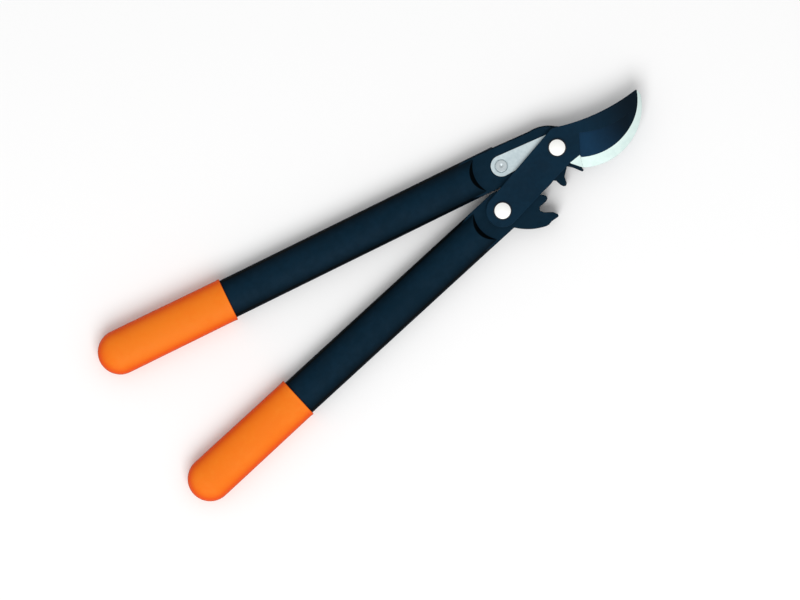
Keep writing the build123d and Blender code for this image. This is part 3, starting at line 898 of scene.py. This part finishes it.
# ---- sub-assemblies ----
@dataclass
class Sleeve:
    """Soft sleeve with a beaded mouth and a domed end.

    Attributes:
        node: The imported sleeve.
        body: The body that it rides on.
        around: Points round a section.
        squareness: Exponent of the section's oval; 2 is an ellipse.
        mouth_step: How far the mouth is inside the widest section.
        bead_width: Width of the bead at the mouth.
        bead_rise: How far the bead stands up.
        bead_flat: Share of the bead's width that stands at its full height.
        lip: Rounding of the mouth's rim.
        side_wall: Wall at the mouth, at the sides.
        face_wall: Wall at the mouth, above and below.
        bore_gap: From the bore's end to the dome, as a share of the dome.
        seam: Height of the moulding seam along each side.
        lip_rows: Rows round the lip, and down from the bead.
        wall_rows: Rows along the straight wall.
        dome_rows: Rows over the dome.
    """

    node: str
    body: str
    around: int = 96
    squareness: float = 2.12
    mouth_step: float = 0.3 * MM
    bead_width: float = 2.6 * MM
    bead_rise: float = 0.25 * MM
    bead_flat: float = 0.55
    lip: float = 0.6 * MM
    side_wall: float = 1.4 * MM
    face_wall: float = 1.6 * MM
    bore_gap: float = 0.02
    seam: float = 0.05 * MM
    lip_rows: int = 6
    wall_rows: int = 26
    dome_rows: int = 22

    def ring(self, shape: bmesh.types.BMesh, axis: Axis, reach: float, half_width: float,
             half_height: float, seam: float = 0.0) -> list[bmesh.types.BMVert]:
        """One section of the sleeve.

        Args:
            shape: The sleeve's shape.
            axis: The sleeve's axis.
            reach: Place along the axis.
            half_width: Half the section's width.
            half_height: Half the section's height.
            seam: Height of the seam at both sides.

        Returns:
            The section's vertices, in order.
        """
        verts = []
        for number in range(self.around):
            turn = math.tau * number / self.around
            side = math.copysign(abs(math.cos(turn)) ** (2 / self.squareness), math.cos(turn))
            rise = math.copysign(abs(math.sin(turn)) ** (2 / self.squareness), math.sin(turn))
            ridge = seam if number % (self.around // 2) == 0 else 0.0
            width = half_width - self.seam + ridge
            verts.append(shape.verts.new(axis.spot(reach, side * width, rise * half_height)))
        return verts

    def profile(self, axis: Axis) -> list[tuple[float, float]]:
        """Places along the outside, from the mouth to the dome's tip, each with its inset.

        Args:
            axis: The sleeve's axis.

        Returns:
            Reach along the axis and inset from the widest section.
        """
        places = []
        for number in range(self.lip_rows + 1):
            turn = math.pi / 2 * number / self.lip_rows
            inset = self.mouth_step - self.bead_rise + self.lip * (1 - math.sin(turn))
            places.append((self.lip * (1 - math.cos(turn)), inset))
        for number in range(1, self.lip_rows + 1):
            share = number / self.lip_rows
            ease = share * share * (3 - 2 * share)
            reach = self.bead_width * (self.bead_flat + (1 - self.bead_flat) * share)
            places.append((reach, self.mouth_step - self.bead_rise * (1 - ease)))
        wall = axis.length - axis.half_width - self.bead_width
        for number in range(1, self.wall_rows + 1):
            share = number / self.wall_rows
            places.append((self.bead_width + wall * share, self.mouth_step * (1 - share)))
        return places

    def build(self) -> bpy.types.Object:
        """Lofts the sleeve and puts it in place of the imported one.

        Returns:
            The sleeve.
        """
        axis = Axis(self.node)
        shape = bmesh.new()
        rings = []
        inner_width = axis.half_width - self.mouth_step - self.side_wall
        inner_height = axis.half_height - self.mouth_step - self.face_wall
        dome = axis.half_width
        straight = axis.length - dome
        bore_end = straight - dome * self.bore_gap
        for reach in (bore_end, straight / 2, self.lip):
            rings.append(self.ring(shape, axis, reach, inner_width, inner_height))
        for reach, inset in self.profile(axis):
            half_width = axis.half_width - inset
            rings.append(self.ring(shape, axis, reach, half_width, axis.half_height - inset, self.seam))
        for number in range(1, self.dome_rows):
            turn = math.pi / 2 * number / self.dome_rows
            share = math.cos(turn)
            rings.append(self.ring(shape, axis, straight + dome * math.sin(turn), axis.half_width * share,
                                   axis.half_height * share, self.seam * share))
        for first, second in zip(rings, rings[1:]):
            for number in range(self.around):
                following = (number + 1) % self.around
                shape.faces.new((first[number], first[following], second[following], second[number]))
        for end, reach in ((rings[0], bore_end), (rings[-1], axis.length)):
            point = shape.verts.new(axis.spot(reach, 0.0, 0.0))
            for number in range(self.around):
                shape.faces.new((end[number], end[(number + 1) % self.around], point))
        bmesh.ops.recalc_face_normals(shape, faces=shape.faces)
        for face in shape.faces:
            face.smooth = True
        name = self.node + "_sleeve"
        return enter(name, keep(shape, name), self.body, (self.node,))


@dataclass
class LeverArm:
    """One arm: the moulded handle, the plug in its tube and the sleeve over it.

    Attributes:
        side: Name of the arm, upper or lower.
        body: The body that the arm rides on.
        rounding: Rounding of the moulded edges.
    """

    side: str
    body: str
    rounding: float = 0.35 * MM

    def build(self) -> list[bpy.types.Object]:
        """Builds the arm's handle and sleeve.

        Returns:
            The handle and the sleeve.
        """
        node = self.side + "_handle"
        name = node + "_moulding"
        shape = welded(node)
        round_edges(shape, self.rounding)
        handle = enter(name, keep(shape, name), self.body, (node,))
        even_shading(handle)
        return [handle, Sleeve(self.side + "_grip", self.body).build()]

    def dress(self, handle: bpy.types.Object, sleeve: bpy.types.Object) -> None:
        """Gives the handle, its sleeve and its plug their plastics.

        Args:
            handle: The handle.
            sleeve: The sleeve.
        """
        clad(handle, NAVY_NYLON)
        clad(sleeve, ORANGE_SLEEVE)
        clad(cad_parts[self.side + "_end_plug"], PLUG_PLASTIC)


@dataclass
class CuttingHead:
    """The blade, the hook and the rivet that holds the hook's tang.

    Attributes:
        hone: Rounding of the blade's and hook's edges.
        edge_rise: The ground faces reach below this height over the blade's back.
        slopes: Least and greatest height of a ground face's normal.
        facet_turn: Neighbouring facets of one ground face turn by fewer degrees than this.
        recess_depths: Least and greatest depth of the blade's recessed face under its plate.
        recess_tilt: Least height of the recessed face's normal.
        ground_centre: Centre of the arc that the cutting edge follows, in plan.
    """

    hone: float = 0.12 * MM
    edge_rise: float = 1.5 * MM
    slopes: tuple[float, float] = (0.15, 0.985)
    facet_turn: float = 10.0
    recess_depths: tuple[float, float] = (0.2 * MM, 1.2 * MM)
    recess_tilt: float = 0.99
    ground_centre: tuple[float, float] = (0.0, 0.0)

    def arc_centre(self, spots: list[Vector]) -> tuple[float, float]:
        """Centre of the circle through the ends and the lowest of some points, in plan.

        Args:
            spots: Corners of the ground faces.

        Returns:
            The centre's X and Y.
        """
        first = min(spots, key=lambda spot: spot.x)
        last = max(spots, key=lambda spot: spot.x)
        middle = min(spots, key=lambda spot: spot.y)
        rows = []
        for spot in (middle, last):
            share = (spot.xy.length_squared - first.xy.length_squared) / 2
            rows.append((spot.x - first.x, spot.y - first.y, share))
        (a, b, m), (c, d, n) = rows
        size = a * d - b * c
        return (m * d - b * n) / size, (a * n - m * c) / size

    def mark_ground(self, shape: bmesh.types.BMesh) -> list[Vector]:
        """Puts the blade's ground faces in its second material slot.

        Args:
            shape: The blade.

        Returns:
            Corners of the ground faces.
        """
        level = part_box("blade")[0].z + self.edge_rise
        lowest, highest = self.slopes
        seeds = []
        for face in shape.faces:
            if lowest < face.normal.z < highest and min(vert.co.z for vert in face.verts) < level:
                seeds.append(face)
        corners = []
        for face in spread_from(seeds, self.facet_turn):
            face.material_index = 1
            corners.extend(vert.co.copy() for vert in face.verts)
        return corners

    def mark_recess(self, shape: bmesh.types.BMesh) -> None:
        """Puts the blade's recessed face in its third material slot, which carries a painted highlight.

        Args:
            shape: The blade.
        """
        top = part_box("blade")[1].z
        least, greatest = self.recess_depths
        for face in shape.faces:
            lowered = least < top - face.calc_center_median().z < greatest
            if lowered and face.normal.z > self.recess_tilt:
                face.material_index = 2

    def build(self) -> list[bpy.types.Object]:
        """Rounds the blade and the hook, and marks the blade's faces.

        Returns:
            The blade and the hook.
        """
        shape = welded("blade")
        self.ground_centre = self.arc_centre(self.mark_ground(shape))
        self.mark_recess(shape)
        round_edges(shape, self.hone, self.facet_turn)
        blade = enter("blade_forging", keep(shape, "blade_forging"), "blade", ("blade",))
        even_shading(blade)
        shape = welded("hook")
        round_edges(shape, self.hone)
        hook = enter("hook_forging", keep(shape, "hook_forging"), "hook_handle", ("hook",))
        even_shading(hook)
        return [blade, hook]

    def dress(self, blade: bpy.types.Object, hook: bpy.types.Object) -> None:
        """Gives the blade, the hook, the rivet and its burr their metals.

        Args:
            blade: The blade.
            hook: The hook.
        """
        # The third slot's lighter coat on the recessed face is a painted highlight; both coats darken
        # towards the tip as painted shade.
        clad(blade, BLADE_COAT_PAINTED_TIP_SHADE, replace(GROUND_EDGE, centre=self.ground_centre), RECESS_COAT_PAINTED_LIGHT)
        clad(hook, GROUND_HOOK)
        clad(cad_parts["tang_rivet"], RIVET_STEEL)
        clad(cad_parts["tang_rivet_burr"], ZINC_PLATE)


@dataclass
class Pivot:
    """A bolted pivot: bolt, nut, bush and washers.

    Attributes:
        side: Name of the pivot, main or link.
    """

    side: str

    def dress(self) -> list[bpy.types.Object]:
        """Gives the pivot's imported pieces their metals.

        Returns:
            The dressed pieces.
        """
        # The bolt wears a painted reflection, and the dark head washer draws a painted shade ring round it.
        worn = {"pivot_bolt": BOLT_PAINTED_REFLECTION, "pivot_nut": ZINC_PLATE, "pivot_bush": BUSH_BRONZE,
                "head_washer": WASHER_PAINTED_SHADE, "nut_washer": ZINC_PLATE}
        pieces = []
        for part, finish in worn.items():
            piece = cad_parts[self.side + "_" + part]
            clad(piece, finish)
            pieces.append(piece)
        return pieces


# ---- surroundings ----
@dataclass
class Studio:
    """Plain pale floor and soft light.

    Attributes:
        floor_size: Side of the floor.
        floor_shade: The floor's pale grey.
        key_height: Height of the large light over the shears.
        key_aside: How far the light stands towards the view's lower edge.
        key_size: The light's side.
        key_power: The light's power.
        ambient: Strength of the light from all round.
    """

    floor_size: float = 16.0
    floor_shade: Colour = (0.92, 0.92, 0.92)
    key_height: float = 2.8
    key_aside: float = 1.9
    key_size: float = 2.4
    key_power: float = 76.0
    ambient: float = 0.62

    def floor(self) -> bpy.types.Object:
        """Lays the floor at the plane that the shears lie on.

        Returns:
            The floor.
        """
        shape = bmesh.new()
        bmesh.ops.create_grid(shape, x_segments=4, y_segments=4, size=self.floor_size / 2)
        piece = bpy.data.objects.new("floor", keep(shape, "floor"))
        bpy.context.scene.collection.objects.link(piece)
        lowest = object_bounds()[0].z
        piece.location = (0.0, 0.0, lowest)
        shades = [self.floor_shade] * 4
        paint = Plastic("floor_paint", *shades, painted_rim=self.floor_shade, roughness=0.7, wear=0.0,
                        grain=300.0, dust=0.0, specular=0.2)
        clad(piece, paint)
        piece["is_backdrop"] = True
        return piece

    def lamp(self, name: str, place: Vector, aim: Vector, size: float, power: float) -> bpy.types.Object:
        """One square area light that looks at a point.

        Args:
            name: The light's name.
            place: Where it stands.
            aim: Where it looks.
            size: Its side.
            power: Its power in watts.

        Returns:
            The light.
        """
        data = bpy.data.lights.new(name, "AREA")
        data.shape = "SQUARE"
        data.size = size
        data.energy = power
        light = bpy.data.objects.new(name, data)
        bpy.context.scene.collection.objects.link(light)
        light.location = place
        light.rotation_euler = (aim - place).to_track_quat("-Z", "Y").to_euler()
        return light

    def build(self, middle: Vector, turn: float) -> None:
        """Lays the floor and hangs the light.

        Args:
            middle: Middle of the shears.
            turn: The view's turn about the upright, in degrees.
        """
        self.floor()
        aside = Vector((0.0, -self.key_aside, self.key_height))
        aside.rotate(Matrix.Rotation(math.radians(turn), 3, "Z"))
        self.lamp("key_light", middle + aside, middle, self.key_size, self.key_power)
        world = bpy.data.worlds.new("studio")
        bpy.context.scene.world = world
        world.use_nodes = True
        background = world.node_tree.nodes["Background"]
        background.inputs["Color"].default_value = (1.0, 1.0, 1.0, 1.0)
        background.inputs["Strength"].default_value = self.ambient


@dataclass
class Viewpoint:
    """The camera, straight above the shears and turned about the upright.

    Attributes:
        turn: Turn about the upright, in degrees.
        field_width: Width of the view at the shears.
        shift: From the middle of the shears to the middle of the view, in plan.
        lens: Focal length in millimetres.
        sensor: Sensor width in millimetres.
    """

    turn: float = -34.43
    field_width: float = 0.6133
    shift: tuple[float, float] = (-0.0122, -0.0288)
    lens: float = 500.0
    sensor: float = 36.0

    def build(self, middle: Vector) -> bpy.types.Object:
        """Puts the camera in place.

        Args:
            middle: Middle of the shears.

        Returns:
            The camera.
        """
        data = bpy.data.cameras.new("camera")
        data.lens = self.lens
        data.sensor_width = self.sensor
        data.clip_end = 40.0
        camera = bpy.data.objects.new("camera", data)
        bpy.context.scene.collection.objects.link(camera)
        distance = self.field_width * self.lens / self.sensor
        camera.location = middle + Vector((*self.shift, distance))
        camera.rotation_euler = (0.0, 0.0, math.radians(self.turn))
        bpy.context.scene.camera = camera
        bpy.context.scene.view_settings.view_transform = "Standard"
        return camera


def main() -> None:
    """Builds the shears' looks, sub-assembly by sub-assembly."""
    logging.basicConfig(level=logging.INFO, format="%(name)s: %(message)s")
    packed_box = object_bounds()
    middle = (packed_box[0] + packed_box[1]) / 2
    viewpoint = Viewpoint()
    viewpoint.build(middle)
    pieces = []
    for side, body in (("upper", "hook_handle"), ("lower", "lever_handle")):
        arm = LeverArm(side, body)
        made = arm.build()
        arm.dress(*made)
        pieces += made
    head = CuttingHead()
    made = head.build()
    head.dress(*made)
    pieces += made
    for side in ("main", "link"):
        pieces += Pivot(side).dress()
    clad(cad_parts["link_slide_washer"], SLIDE_POLYMER)
    for piece in pieces:
        LOG.info("%s: %d faces", piece.name, len(piece.data.polygons))
    Studio().build(middle, viewpoint.turn)


if __name__ == "__main__":
    main()
